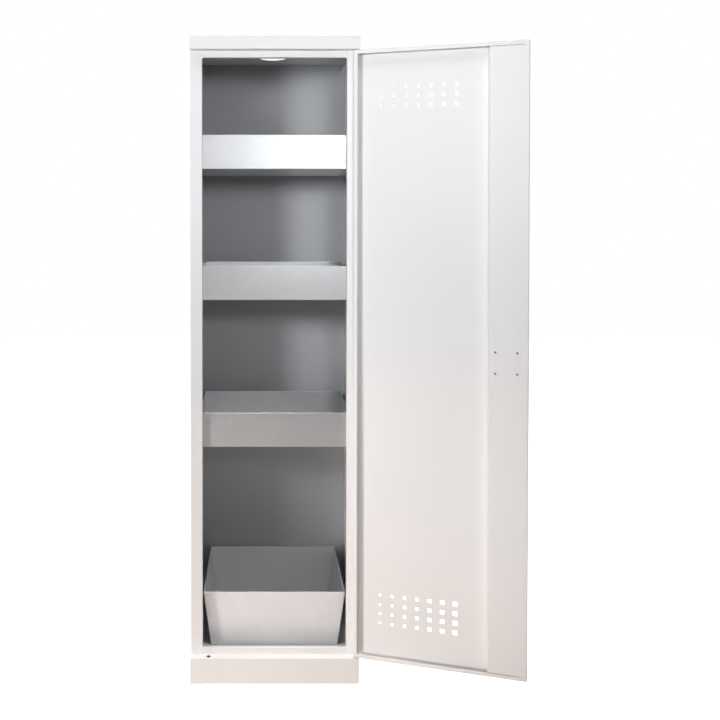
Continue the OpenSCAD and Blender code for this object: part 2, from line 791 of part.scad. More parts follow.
// One flanged pivot bush, pressed into the ledge of the lid (way +1) or of the plinth (way -1)
module pivot_bush(way) {
  face = way > 0 ? cap_z : plinth_h;
  tip = face + way * (pin_reach + 1);
  rim = face - way * bush_flange_t;
  color(white_nylon) difference() {
    union() {
      post(pivot_x, pivot_y, min(face, tip), max(face, tip), bush_d);
      post(pivot_x, pivot_y, min(face, rim), max(face, rim), bush_flange_d);
    }
    post(pivot_x, pivot_y, min(rim, tip) - 1, max(rim, tip) + 1, pin_d + 2 * run_gap);
  }
}

side_panel(-1);  // left_side_panel
side_panel(1);  // right_side_panel
back_panel();
floor_panel();
top_cap();
top_rail();
bottom_rail();
plinth_front();
plinth_rear();
plinth_side(-1);  // plinth_left
plinth_side(1);  // plinth_right
slotted_strip(-1, front_strip);  // slotted_strip_front_left
slotted_strip(1, front_strip);  // slotted_strip_front_right
slotted_strip(-1, rear_strip);  // slotted_strip_rear_left
slotted_strip(1, rear_strip);  // slotted_strip_rear_right
tray_rail(-1, upper_slot);  // tray_rail_upper_left
tray_rail(1, upper_slot);  // tray_rail_upper_right
tray_rail(-1, middle_slot);  // tray_rail_middle_left
tray_rail(1, middle_slot);  // tray_rail_middle_right
tray_rail(-1, lower_slot);  // tray_rail_lower_left
tray_rail(1, lower_slot);  // tray_rail_lower_right
tray(upper_slot);  // tray_upper
tray(middle_slot);  // tray_middle
tray(lower_slot);  // tray_lower
sump_tray();
door_pan();
lock_channel();
lock_cover_plate();
cover_screws();
lock_case();
handle_rosette();
rod_guides();
pivot_pin(1);  // top_pivot_pin
pivot_pin(-1);  // bottom_pivot_pin
pivot_bush(1);  // top_pivot_bush
pivot_bush(-1);  // bottom_pivot_bush
turn_handle();
handle_spindle();
lock_cam();
key_core();
locking_rod(1);  // upper_rod
locking_rod(-1);  // lower_rod
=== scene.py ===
# %% [markdown]
# # A tall sheet-steel cabinet for chemicals
# The cabinet is folded from 1 mm steel and powder coated. It has one pan door, three galvanised
# tray shelves and a sloping-sided sump tray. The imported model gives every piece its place. This
# lesson dresses the pieces: it folds the sheets with real bend radii, punches the holes and mixes
# the paints.

# %% Load the fixed frame
import math

import bmesh
import bpy
from mathutils import Matrix, Vector


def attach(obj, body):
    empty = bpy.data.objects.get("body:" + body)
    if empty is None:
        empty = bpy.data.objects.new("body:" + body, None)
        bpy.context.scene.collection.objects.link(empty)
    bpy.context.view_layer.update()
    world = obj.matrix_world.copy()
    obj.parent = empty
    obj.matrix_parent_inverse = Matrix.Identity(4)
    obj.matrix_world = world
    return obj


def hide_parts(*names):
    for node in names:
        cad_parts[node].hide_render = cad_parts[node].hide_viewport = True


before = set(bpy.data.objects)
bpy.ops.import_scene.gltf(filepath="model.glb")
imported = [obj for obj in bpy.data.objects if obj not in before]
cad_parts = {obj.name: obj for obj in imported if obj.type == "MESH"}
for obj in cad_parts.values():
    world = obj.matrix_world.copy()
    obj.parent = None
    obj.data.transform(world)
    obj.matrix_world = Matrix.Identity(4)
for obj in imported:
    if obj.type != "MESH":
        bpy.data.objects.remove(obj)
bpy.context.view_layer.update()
scene = bpy.context.scene
MM = 0.001

# %% [markdown]
# ## The camera
# The photograph was taken from below eye height, with the cabinet left of the picture's middle. A
# camera that is turned towards it would tilt the uprights, so the lens stays nearly level and is
# shifted, as on a view camera. The numbers come from fitting the cabinet's straight edges.

# %% Set the camera
lens = bpy.data.cameras.new("view_camera")
lens.sensor_width = 36
lens.lens = 46.746
lens.shift_x = 0.1391
lens.shift_y = -0.1595
camera = bpy.data.objects.new("view_camera", lens)
camera.location = (-0.0446, -2.8154, 1.3734)
DEGREES_BELOW_LEVEL = 0.99
camera.rotation_euler = (math.radians(90 - DEGREES_BELOW_LEVEL), 0, 0)
scene.collection.objects.link(camera)
scene.camera = camera
print("camera looks along +Y from", tuple(round(c, 3) for c in camera.location))

# %% [markdown]
# ## Sizes
# A few sizes come up in many pieces: the outer faces of the body, the axis the door swings about,
# the middle of the lock, the thickness of the two kinds of sheet. They have their names here, in
# millimetres. X is the cabinet's width, Y runs from the front to the back, and Z is up.

# %% Sizes that several pieces share
HALF_WIDTH, LEDGE_FRONT, BACK_EDGE = 255, -15, 485
FOOT, HEAD, TOP = 77, 1911, 1950
PIVOT_X, PIVOT_Y = 246.5, -1.5
LOCK_X, LOCK_Z = -192, 989
UPPER_ROD_X, LOWER_ROD_X = -184, -200
SHEET, ZINC_SHEET = 1, 0.9
HALF_SHEET = SHEET / 2
DOOR_OPEN = math.radians(162)
print("the body is", 2 * HALF_WIDTH, "mm wide and", TOP, "mm high")
print("the door stands open by", round(math.degrees(DOOR_OPEN)), "degrees")

# %% [markdown]
# ## Paints and metals
# Every finish starts from the Principled shader, with patterns that are fixed to the object. A few
# helpers keep the node trees short enough to read: one makes a node with its settings, one links
# many sockets at once, and one runs the base colour between two shades.

# %% Helpers for materials
def new_finish(name, roughness, metallic=0.0):
    """An empty Principled material, with its node tree and its shader."""
    finish = bpy.data.materials.new(name)
    finish.use_nodes = True
    shader = finish.node_tree.nodes["Principled BSDF"]
    shader.inputs["Roughness"].default_value = roughness
    shader.inputs["Metallic"].default_value = metallic
    return finish, finish.node_tree, shader


def add_node(tree, kind, inputs=None, **settings):
    """A node with its settings and unlinked inputs."""
    node = tree.nodes.new(kind)
    for key, value in settings.items():
        setattr(node, key, value)
    for key, value in (inputs or {}).items():
        node.inputs[key].default_value = value
    return node


def wire(tree, *pairs):
    """Links each pair of an output and an input."""
    for source, target in pairs:
        tree.links.new(source, target)


def spread_colour(tree, shader, fac, dark, light):
    """Runs the base colour from dark to light with a pattern."""
    mix = add_node(tree, "ShaderNodeMix", data_type="RGBA")
    mix.inputs["A"].default_value = (*dark, 1)
    mix.inputs["B"].default_value = (*light, 1)
    wire(tree, (fac, mix.inputs["Factor"]), (mix.outputs["Result"], shader.inputs["Base Color"]))


# %% [markdown]
# Powder coat is a baked plastic film. Its colour is even, and its surface has a fine orange-peel
# swell about a millimetre across. Two noise patterns make it: a wide one that shifts the colour by
# a hair, and a fine one that only bends the light.

# %% Powder coat
def powder_coat(name, colour, roughness=0.42):
    """A baked powder film over steel."""
    finish, tree, shader = new_finish(name, roughness)
    place = add_node(tree, "ShaderNodeTexCoord").outputs["Object"]
    clouds = add_node(tree, "ShaderNodeTexNoise", {"Scale": 3.1, "Detail": 3.0})
    peel = add_node(tree, "ShaderNodeTexNoise", {"Scale": 620.0, "Detail": 2.0})
    bump = add_node(tree, "ShaderNodeBump", {"Strength": 0.1, "Distance": 0.0003})
    wire(tree, (place, clouds.inputs["Vector"]), (place, peel.inputs["Vector"]),
         (peel.outputs["Fac"], bump.inputs["Height"]),
         (bump.outputs["Normal"], shader.inputs["Normal"]))
    spread_colour(tree, shader, clouds.outputs["Fac"],
                  [c * 0.975 for c in colour], [min(1.0, c * 1.02) for c in colour])
    return finish


coat = powder_coat("powder_coat_light_grey", (0.82, 0.82, 0.825))
# Painted shade: the inside gets a darker grey than the body's paint, which stands in for the shade
# deep in the bays.
inner_coat_painted_shade = powder_coat("powder_coat_inside_painted_shade", (0.45, 0.46, 0.475), roughness=0.5)
print("paints:", coat.name, inner_coat_painted_shade.name)

# %% [markdown]
# Galvanised sheet shows its zinc crystals, the spangle. Each crystal is a cell about a centimetre
# across that is a little lighter or duller than its neighbours. A pattern of cells gives one random
# grey to each, and that grey sets both the colour and the roughness. The sheet also has fine
# rolling lines and isn't quite flat, which two bumps give. The sump tray's sheet is the duller.

# %% Galvanised sheet
def galvanised_sheet(name, bright, dull):
    """Rolled zinc-coated sheet, whose crystals lie between a bright and a dull roughness."""
    finish, tree, shader = new_finish(name, (bright + dull) / 2, metallic=1.0)
    place = add_node(tree, "ShaderNodeTexCoord").outputs["Object"]
    wobble = add_node(tree, "ShaderNodeTexNoise", {"Scale": 60.0, "Detail": 2.0})
    push = add_node(tree, "ShaderNodeMix", {"Factor": 0.018}, data_type="RGBA")
    cells = add_node(tree, "ShaderNodeTexVoronoi", {"Scale": 85.0, "Randomness": 1.0})
    grey = add_node(tree, "ShaderNodeSeparateColor")
    smear = add_node(tree, "ShaderNodeTexNoise", {"Scale": 9.0, "Detail": 4.0})
    both = add_node(tree, "ShaderNodeMix", {"Factor": 0.75}, data_type="FLOAT")
    spread = add_node(tree, "ShaderNodeMapRange", {"To Min": bright, "To Max": dull})
    stretch = add_node(tree, "ShaderNodeMapping", {"Scale": (1.0, 1.0, 60.0)})
    lines = add_node(tree, "ShaderNodeTexNoise", {"Scale": 25.0, "Detail": 2.0})
    wave = add_node(tree, "ShaderNodeTexNoise", {"Scale": 4.5, "Detail": 1.0})
    fine = add_node(tree, "ShaderNodeBump", {"Strength": 0.05, "Distance": 0.0002})
    slow = add_node(tree, "ShaderNodeBump", {"Strength": 0.5, "Distance": 0.006})
    wire(tree, (place, wobble.inputs["Vector"]), (place, smear.inputs["Vector"]),
         (place, wave.inputs["Vector"]), (place, stretch.inputs["Vector"]),
         (place, push.inputs["A"]), (wobble.outputs["Color"], push.inputs["B"]),
         (push.outputs["Result"], cells.inputs["Vector"]),
         (cells.outputs["Color"], grey.inputs["Color"]),
         (grey.outputs["Red"], both.inputs["A"]), (smear.outputs["Fac"], both.inputs["B"]),
         (both.outputs["Result"], spread.inputs["Value"]),
         (spread.outputs["Result"], shader.inputs["Roughness"]),
         (stretch.outputs["Vector"], lines.inputs["Vector"]),
         (lines.outputs["Fac"], fine.inputs["Height"]),
         (wave.outputs["Fac"], slow.inputs["Height"]),
         (fine.outputs["Normal"], slow.inputs["Normal"]),
         (slow.outputs["Normal"], shader.inputs["Normal"]))
    spread_colour(tree, shader, both.outputs["Result"], (0.70, 0.71, 0.725), (0.80, 0.81, 0.82))
    return finish


zinc_sheet = galvanised_sheet("galvanised_sheet", 0.39, 0.49)
zinc_sheet_dull = galvanised_sheet("galvanised_sheet_dull", 0.54, 0.64)
print("galvanised:", zinc_sheet.name, zinc_sheet_dull.name)

# %% [markdown]
# The pins, rods, rails and lock parts are turned, drawn or stamped from steel and then zinc
# plated. The plate is thin and even, so one noise pattern for small dull patches is enough. The
# screws get a much darker colour, a painted shade for their cross recesses and the dark room
# that they reflect.

# %% Zinc plate
def plated_steel(name, colour, roughness):
    """Turned or drawn steel with a zinc plate."""
    finish, tree, shader = new_finish(name, roughness, metallic=1.0)
    place = add_node(tree, "ShaderNodeTexCoord").outputs["Object"]
    drift = add_node(tree, "ShaderNodeTexNoise", {"Scale": 140.0, "Detail": 4.0})
    patches = add_node(tree, "ShaderNodeMapRange",
                       {"To Min": roughness - 0.06, "To Max": roughness + 0.1})
    wire(tree, (place, drift.inputs["Vector"]), (drift.outputs["Fac"], patches.inputs["Value"]),
         (patches.outputs["Result"], shader.inputs["Roughness"]))
    spread_colour(tree, shader, drift.outputs["Fac"], [c * 0.9 for c in colour], colour)
    return finish


zinc_plate = plated_steel("bright_zinc_plate", (0.66, 0.67, 0.69), 0.3)
# Painted shade: the screws' dark colour stands in for the shade in their recesses and the dark room
# they reflect.
screw_plate_painted_shade = plated_steel("zinc_screw_painted_shade", (0.34, 0.34, 0.35), 0.42)
print("plated:", zinc_plate.name, screw_plate_painted_shade.name)

# %% [markdown]
# The handle, the rosette and the rod guides are injection moulded, and the pivot bushes are nylon.
# A mould is spark eroded, which leaves a grain of tiny pits on the plastic. A fine pattern of
# cells in a bump copies it.

# %% Moulded plastic and nylon
def moulded(name, colour, roughness, grain):
    """An injection-moulded plastic with a fine spark-eroded grain."""
    finish, tree, shader = new_finish(name, roughness)
    place = add_node(tree, "ShaderNodeTexCoord").outputs["Object"]
    sparks = add_node(tree, "ShaderNodeTexVoronoi", {"Scale": 1400.0})
    drift = add_node(tree, "ShaderNodeTexNoise", {"Scale": 40.0, "Detail": 2.0})
    bump = add_node(tree, "ShaderNodeBump", {"Strength": grain, "Distance": 0.0002})
    wire(tree, (place, sparks.inputs["Vector"]), (place, drift.inputs["Vector"]),
         (sparks.outputs["Distance"], bump.inputs["Height"]),
         (bump.outputs["Normal"], shader.inputs["Normal"]))
    spread_colour(tree, shader, drift.outputs["Fac"], [c * 0.9 for c in colour], colour)
    return finish


black_plastic = moulded("black_moulded_plastic", (0.022, 0.022, 0.024), 0.42, 0.25)
nylon = moulded("natural_nylon", (0.84, 0.83, 0.79), 0.5, 0.1)
print("moulded:", black_plastic.name, nylon.name)

# %% [markdown]
# ## From a mesh to a piece
# Every piece ends the same way: its mesh gets a finish and smooth shading with weighted normals, so
# that the large flat panels stay flat next to their rounded folds. Then it rides on a body of the
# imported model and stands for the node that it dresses. Folded pieces of the door are drawn with the
# door shut, where their edges run along the axes, and are swung open about its pivots here.

# %% Helpers for meshes
def loose_object(name, mesh):
    """An object in the scene that isn't a piece yet."""
    thing = bpy.data.objects.new(name, mesh)
    scene.collection.objects.link(thing)
    return thing


def bake(thing, name):
    """The evaluated mesh of an object, which is then removed."""
    evaluated = thing.evaluated_get(bpy.context.evaluated_depsgraph_get())
    mesh = bpy.data.meshes.new_from_object(evaluated)
    mesh.name = name
    bpy.data.objects.remove(thing)
    return mesh


def mesh_from(bm, name):
    """Turns a bmesh in metres into a mesh."""
    mesh = bpy.data.meshes.new(name)
    bm.to_mesh(mesh)
    bm.free()
    return mesh


# %% Make a mesh a piece
PIVOT = Vector((PIVOT_X * MM, PIVOT_Y * MM, 0))
swing = (Matrix.Translation(PIVOT) @ Matrix.Rotation(DOOR_OPEN, 4, "Z")
         @ Matrix.Translation(-PIVOT))


def add_piece(name, mesh, finish, body, slot, *nodes, on_door=False, crease=32):
    """Makes a mesh a piece that rides on a body and replaces nodes."""
    if on_door:
        mesh.transform(swing)
    mesh.polygons.foreach_set("use_smooth", [True] * len(mesh.polygons))
    mesh.set_sharp_from_angle(angle=math.radians(crease))
    thing = loose_object(name, mesh)
    even = thing.modifiers.new("even_normals", "WEIGHTED_NORMAL")
    even.keep_sharp = True
    mesh = bake(thing, name)
    mesh.materials.clear()
    mesh.materials.append(finish)
    mesh.polygons.foreach_set("material_index", [0] * len(mesh.polygons))
    piece = loose_object(name, mesh)
    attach(piece, body)
    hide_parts(*nodes)
    print(f"{name}: {len(mesh.polygons)} faces, rides on {body}")


# %% [markdown]
# ## Folding sheet steel
# A press brake folds a flat sheet along straight lines, and each fold has a small radius. Two
# helpers copy that. One folds a strip along a drawn profile, the other folds a pan up from its
# base on four sides. Both make the outer skin, round its folds and only then give it its thickness,
# so the inside of a fold gets its own, smaller radius.

# %% Fold a strip
def give_thickness(bm, name, thickness):
    """Thickens an outer skin inwards, by a thickness in mm."""
    thing = loose_object(name, mesh_from(bm, name))
    wall = thing.modifiers.new("sheet", "SOLIDIFY")
    wall.thickness = thickness * MM
    wall.offset = -1
    wall.use_even_offset = True
    return bake(thing, name)


def folded_strip(name, profile, start, end, axes, radius=1.6):
    """Folds a strip along a profile of (a, b) and runs it from start to end along c, in mm."""
    a, b, c = ("xyz".index(k) for k in axes)
    bm = bmesh.new()

    def point(p, along):
        co = [0.0, 0.0, 0.0]
        co[a], co[b], co[c] = p[0] * MM, p[1] * MM, along * MM
        return bm.verts.new(co)

    near, far = ([point(p, along) for p in profile] for along in (start, end))
    for i in range(len(profile) - 1):
        bm.faces.new((near[i], near[i + 1], far[i + 1], far[i]))
    folds = [e for e in bm.edges if len(e.link_faces) == 2]
    bmesh.ops.bevel(bm, geom=folds, offset=radius * MM, segments=4, profile=0.5, affect="EDGES")
    return give_thickness(bm, name, SHEET)


# %% [markdown]
# A pan is four-sided all the way up, so it is built from rings of four corners: the base, the top
# of the walls, the edge of the lips and the turned-down hem. A lip that is narrower than the bend
# would fold into itself, so an edge is only rounded where both its faces are wide enough.

# %% Fold a pan
SMALLEST_BEND = 0.1
ROOM_FOR_BEND = 1.2


def same_place(first, second):
    """True for two corners that lie on each other."""
    return (first.co - second.co).length < 1e-9


def folded_pan(name, outline, height, axes, lips=(0, 0, 0, 0), turn=0, taper=0,
               thickness=SHEET, radius=1.6, origin=0):
    """Folds a pan in mm: an outline (u0, u1, v0, v1), walls, lips inwards and a turned-in edge.

    A taper makes the base smaller than the outline on each side."""
    u, v, w = ("xyz".index(k) for k in axes.replace("-", ""))
    way = -1 if "-" in axes else 1
    u0, u1, v0, v1 = outline
    bm = bmesh.new()

    def ring(du0, du1, dv0, dv1, level):
        left, right, near, far = u0 + du0, u1 - du1, v0 + dv0, v1 - dv1
        corners = []
        for pu, pv in ((left, near), (right, near), (right, far), (left, far)):
            co = [0.0, 0.0, 0.0]
            co[u], co[v], co[w] = pu * MM, pv * MM, (origin + way * level) * MM
            corners.append(bm.verts.new(co))
        return corners

    rings = [ring(taper, taper, taper, taper, 0), ring(0, 0, 0, 0, height)]
    if any(lips):
        rings.append(ring(*lips, height))
    if turn:
        rings.append(ring(*lips, height - turn))
    bm.faces.new(reversed(rings[0]))
    for low, high in zip(rings, rings[1:]):
        for k in range(4):
            m = (k + 1) % 4
            if not (same_place(low[k], high[k]) and same_place(low[m], high[m])):
                bm.faces.new((low[k], low[m], high[m], high[k]))
    bm.normal_update()
    bend = radius * MM
    room = ROOM_FOR_BEND * bend
    folds = [e for e in bm.edges
             if len(e.link_faces) == 2 and e.calc_face_angle() > SMALLEST_BEND
             and min(f.calc_area() for f in e.link_faces) > room * e.calc_length()]
    bmesh.ops.bevel(bm, geom=folds, offset=bend, segments=3, profile=0.5, affect="EDGES")
    return give_thickness(bm, name, thickness)


# %% [markdown]
# ## Blocks and cutters
# Holes are cut after the folding, as on a real sheet where the punch comes down on the flat. A
# cutter is a cylinder or a block in a bmesh of its own. The small holes of the lid get a flared
# cutter, whose waist is the hole and whose wide ends break the hole's sharp edges.

# %% Blocks
def add_slab(bm, x0, x1, y0, y1, z0, z1):
    """Adds a plain block between two corners, in mm."""
    made = bmesh.ops.create_cube(bm, size=1.0)["verts"]
    size = Vector((x1 - x0, y1 - y0, z1 - z0)) * MM
    middle = Vector((x0 + x1, y0 + y1, z0 + z1)) * MM / 2
    for vert in made:
        vert.co = Vector([c * s for c, s in zip(vert.co, size)]) + middle


def slabs(name, *blocks):
    """A mesh of plain blocks."""
    bm = bmesh.new()
    for block in blocks:
        add_slab(bm, *block)
    return mesh_from(bm, name)


def joined(name, *meshes):
    """One mesh from several."""
    bm = bmesh.new()
    for mesh in meshes:
        bm.from_mesh(mesh)
    return mesh_from(bm, name)


# %% Cutters
def round_cutter(bm, x, y, z, radius, length, axis="Z", segments=32):
    """Adds a cylinder to cut with, in mm, centred on a point."""
    turn = {"Z": Matrix.Identity(4), "Y": Matrix.Rotation(math.pi / 2, 4, "X")}[axis]
    place = Matrix.Translation(Vector((x, y, z)) * MM) @ turn
    bmesh.ops.create_cone(bm, cap_ends=True, segments=segments, radius1=radius * MM,
                          radius2=radius * MM, depth=length * MM, matrix=place)


FLARE, FLARE_REACH, FLARE_SIDES = 1.4, 0.7, 20


def flared_cutter(bm, x, y, z, radius):
    """Adds an upright cutter with a narrow waist and wide ends, in mm."""
    turns = [2 * math.pi * k / FLARE_SIDES for k in range(FLARE_SIDES)]

    def ring(dz, r):
        corners = [(x + r * math.cos(a), y + r * math.sin(a), z + dz) for a in turns]
        return [bm.verts.new(Vector(corner) * MM) for corner in corners]

    rings = [ring(dz, radius + wider)
             for dz, wider in ((-FLARE_REACH, FLARE), (0, 0), (FLARE_REACH, FLARE))]
    for low, high in zip(rings, rings[1:]):
        for k in range(FLARE_SIDES):
            m = (k + 1) % FLARE_SIDES
            bm.faces.new((low[k], low[m], high[m], high[k]))
    bm.faces.new(rings[0][::-1])
    bm.faces.new(rings[2])


def cut(mesh, bm):
    """Cuts the shape in bm out of a mesh."""
    thing = loose_object(mesh.name, mesh)
    tool = loose_object("cutter", mesh_from(bm, "cutter"))
    boolean = thing.modifiers.new("cut", "BOOLEAN")
    boolean.operation = "DIFFERENCE"
    boolean.solver = "EXACT"
    boolean.object = tool
    result = bake(thing, mesh.name)
    bpy.data.objects.remove(tool)
    return result


# %% [markdown]
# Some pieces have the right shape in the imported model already, and only their edges are too sharp.
# For those the helper copies the node, merges its loose triangles, melts the flat faces together
# and bevels each edge that turns by more than a set angle.

# %% Copy a node with softened edges
SAME_POINT = 2e-6
FLAT = math.radians(0.5)
SHARP = math.radians(25)


def dressed_copy(node, width=0.35, segments=2):
    """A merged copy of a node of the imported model, with its edges rounded by width mm."""
    bm = bmesh.new()
    bm.from_mesh(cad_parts[node].data)
    bmesh.ops.remove_doubles(bm, verts=bm.verts, dist=SAME_POINT)
    bmesh.ops.dissolve_limit(bm, angle_limit=FLAT, verts=bm.verts, edges=bm.edges)
    sharp = [e for e in bm.edges if len(e.link_faces) == 2 and e.calc_face_angle() > SHARP]
    bmesh.ops.bevel(bm, geom=sharp, offset=width * MM, segments=segments, profile=0.5,
                    affect="EDGES", clamp_overlap=True)
    return mesh_from(bm, node)


# %% [markdown]
# ## The carcass
# Each side panel is one sheet: from the doorway's return round the front stile, along the side and
# round the back flange. The fold at the stile is what catches the light down the whole front, so
# these sheets are folded from a profile and not copied as blocks. A tab at the foot and one at the
# head join it to the plinth and the lid.

# %% Side panels
STILE_X, STILE_FACE, STILE_RETURN = 219, 15, 35
FLANGE_X = 235
SIDE = [(STILE_X, STILE_RETURN), (STILE_X, STILE_FACE), (HALF_WIDTH, STILE_FACE),
        (HALF_WIDTH, BACK_EDGE), (FLANGE_X, BACK_EDGE)]
TAB_START, TAB_END = 36, 472.9
TAB_LEVELS = ((FOOT, FOOT + SHEET), (HEAD - SHEET, HEAD))
for side, node in ((1, "right_side_panel"), (-1, "left_side_panel")):
    outline = SIDE if side > 0 else [(-x, y) for x, y in reversed(SIDE)]
    sheet = folded_strip(node, outline, FOOT, HEAD, "xyz")
    x0, x1 = sorted((side * FLANGE_X, side * (HALF_WIDTH - SHEET)))
    tabs = slabs(node, *[(x0, x1, TAB_START, TAB_END, z0, z1) for z0, z1 in TAB_LEVELS])
    add_piece(node + "_folded", joined(node, sheet, tabs), coat, "cabinet", "powder_grey", node)

# %% [markdown]
# The lid is a pan turned upside down. Its front lip is the deep ledge over the door. The exhaust
# hole, the collar and tie holes and the two holes over the door are cut after the folding.

# %% Lid
LID_LIPS = (51, 0.01, 21, 21)
EXHAUST_Y, EXHAUST_RADIUS = 354, 42.5
COLLAR_REACH, COLLAR_RADIUS = 52, 2.5
TIE_X, TIE_Y, TIE_RADIUS = 232, 466, 3
PIVOT_HOLE, ROD_HOLE = 6, 7
lid = folded_pan("top_cap", (LEDGE_FRONT, BACK_EDGE, -HALF_WIDTH, HALF_WIDTH), TOP - HEAD, "yx-z",
                 lips=LID_LIPS, origin=TOP)
tools = bmesh.new()
round_cutter(tools, 0, EXHAUST_Y, TOP - HALF_SHEET, EXHAUST_RADIUS, 6, segments=72)
for x in (-COLLAR_REACH, COLLAR_REACH):
    for y in (EXHAUST_Y - COLLAR_REACH, EXHAUST_Y + COLLAR_REACH):
        flared_cutter(tools, x, y, TOP - HALF_SHEET, COLLAR_RADIUS)
for x in (-TIE_X, TIE_X):
    flared_cutter(tools, x, TIE_Y, TOP - HALF_SHEET, TIE_RADIUS)
for x, radius in ((PIVOT_X, PIVOT_HOLE), (UPPER_ROD_X, ROD_HOLE)):
    round_cutter(tools, x, PIVOT_Y, HEAD + HALF_SHEET, radius, 4)
add_piece("lid_folded", cut(lid, tools), coat, "cabinet", "powder_grey", "top_cap")

# %% [markdown]
# The plinth is a frame of four folded channels. The front one reaches forward like the lid's ledge,
# so that the door stands between the two, and it has the holes for the lower pivot and the lower
# rod. The side channels only show their flat outside, so softened copies of them are enough.

# %% Plinth
PLINTH_FOLD, PLINTH_SHELF = 30, 36
profile = [(PLINTH_SHELF, FOOT), (LEDGE_FRONT, FOOT), (LEDGE_FRONT, 0),
           (LEDGE_FRONT + PLINTH_FOLD, 0)]
front = folded_strip("plinth_front", profile, -HALF_WIDTH, HALF_WIDTH, "yzx")
tools = bmesh.new()
for x, radius in ((PIVOT_X, PIVOT_HOLE), (LOWER_ROD_X, ROD_HOLE)):
    round_cutter(tools, x, PIVOT_Y, FOOT - HALF_SHEET, radius, 4)
add_piece("plinth_front_folded", cut(front, tools), coat, "cabinet", "powder_grey", "plinth_front")

profile = [(BACK_EDGE - PLINTH_FOLD, 0), (BACK_EDGE, 0), (BACK_EDGE, FOOT),
           (BACK_EDGE - PLINTH_FOLD, FOOT)]
rear = folded_strip("plinth_rear", profile, -HALF_WIDTH, HALF_WIDTH, "yzx")
add_piece("plinth_rear_folded", rear, coat, "cabinet", "powder_grey", "plinth_rear")
for node in ("plinth_left", "plinth_right"):
    add_piece(node + "_dressed", dressed_copy(node), coat, "cabinet", "powder_grey", node)

# %% [markdown]
# Two rails close the doorway's frame above and below, with rounded inner corners. Their shape is in
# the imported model, so they are copied and softened.

# %% Doorway rails
for node in ("top_rail", "bottom_rail"):
    add_piece(node + "_dressed", dressed_copy(node, 0.3), coat, "cabinet", "powder_grey", node)

# %% [markdown]
# The back is a shallow pan whose flanges point to the rear, and the floor is a flat sheet. Both
# get a grey darker than the body's paint, a painted shade for the inside of the bays, which is
# what makes the bays look deep behind the bright trays.

# %% Back and floor
BACK_OUTLINE = (77.1, 1948.9, -253.9, 253.9)
BACK_FACE, BACK_FLANGE = 473, 10.9
back = folded_pan("back_panel", BACK_OUTLINE, BACK_FLANGE, "zxy", origin=BACK_FACE)
add_piece("back_panel_folded", back, inner_coat_painted_shade, "cabinet", "inner_grey", "back_panel")
add_piece("floor_panel_dressed", dressed_copy("floor_panel", 0.25), inner_coat_painted_shade, "cabinet",
          "inner_grey", "floor_panel")

# %% [markdown]
# ## Punching holes with Geometry Nodes
# The slots in the strips and the square vents in the door are punched in rows and columns. One node
# tree does both: it lays a grid of points, puts a block on each, sizes the blocks from the first to
# the last column, and takes them out of the sheet. The vents grow towards the lock edge, which one
# Map Range node gives.

# %% Helpers for node trees
def new_tree(name, geometry, inputs):
    """A node tree with its named inputs. Gives the tree, the input sockets and the output node."""
    tree = bpy.data.node_groups.new(name, "GeometryNodeTree")
    for label, kind in ((geometry, "Geometry"), *inputs):
        tree.interface.new_socket(name=label, in_out="INPUT", socket_type="NodeSocket" + kind)
    tree.interface.new_socket(name=geometry, in_out="OUTPUT", socket_type="NodeSocketGeometry")
    start, stop = tree.nodes.new("NodeGroupInput"), tree.nodes.new("NodeGroupOutput")
    return tree, start.outputs, stop


def end_tree(tree, geometry, finish, stop):
    """Ends a tree with real meshes, because the export drops instances, and with a finish."""
    real = tree.nodes.new("GeometryNodeRealizeInstances")
    dress = tree.nodes.new("GeometryNodeSetMaterial")
    wire(tree, (geometry, real.inputs[0]), (real.outputs[0], dress.inputs["Geometry"]),
         (finish, dress.inputs["Material"]), (dress.outputs[0], stop.inputs[0]))


def run_tree(tree, mesh, name, **values):
    """Runs a node tree on a mesh, with its inputs set by their names, and bakes the result."""
    thing = loose_object(name, mesh)
    modifier = thing.modifiers.new("nodes", "NODES")
    modifier.node_group = tree
    sockets = {s.name: s.identifier for s in tree.interface.items_tree
               if s.item_type == "SOCKET" and s.in_out == "INPUT"}
    for label, value in values.items():
        modifier[sockets[label.replace("_", " ")]] = value
    return bake(thing, name)


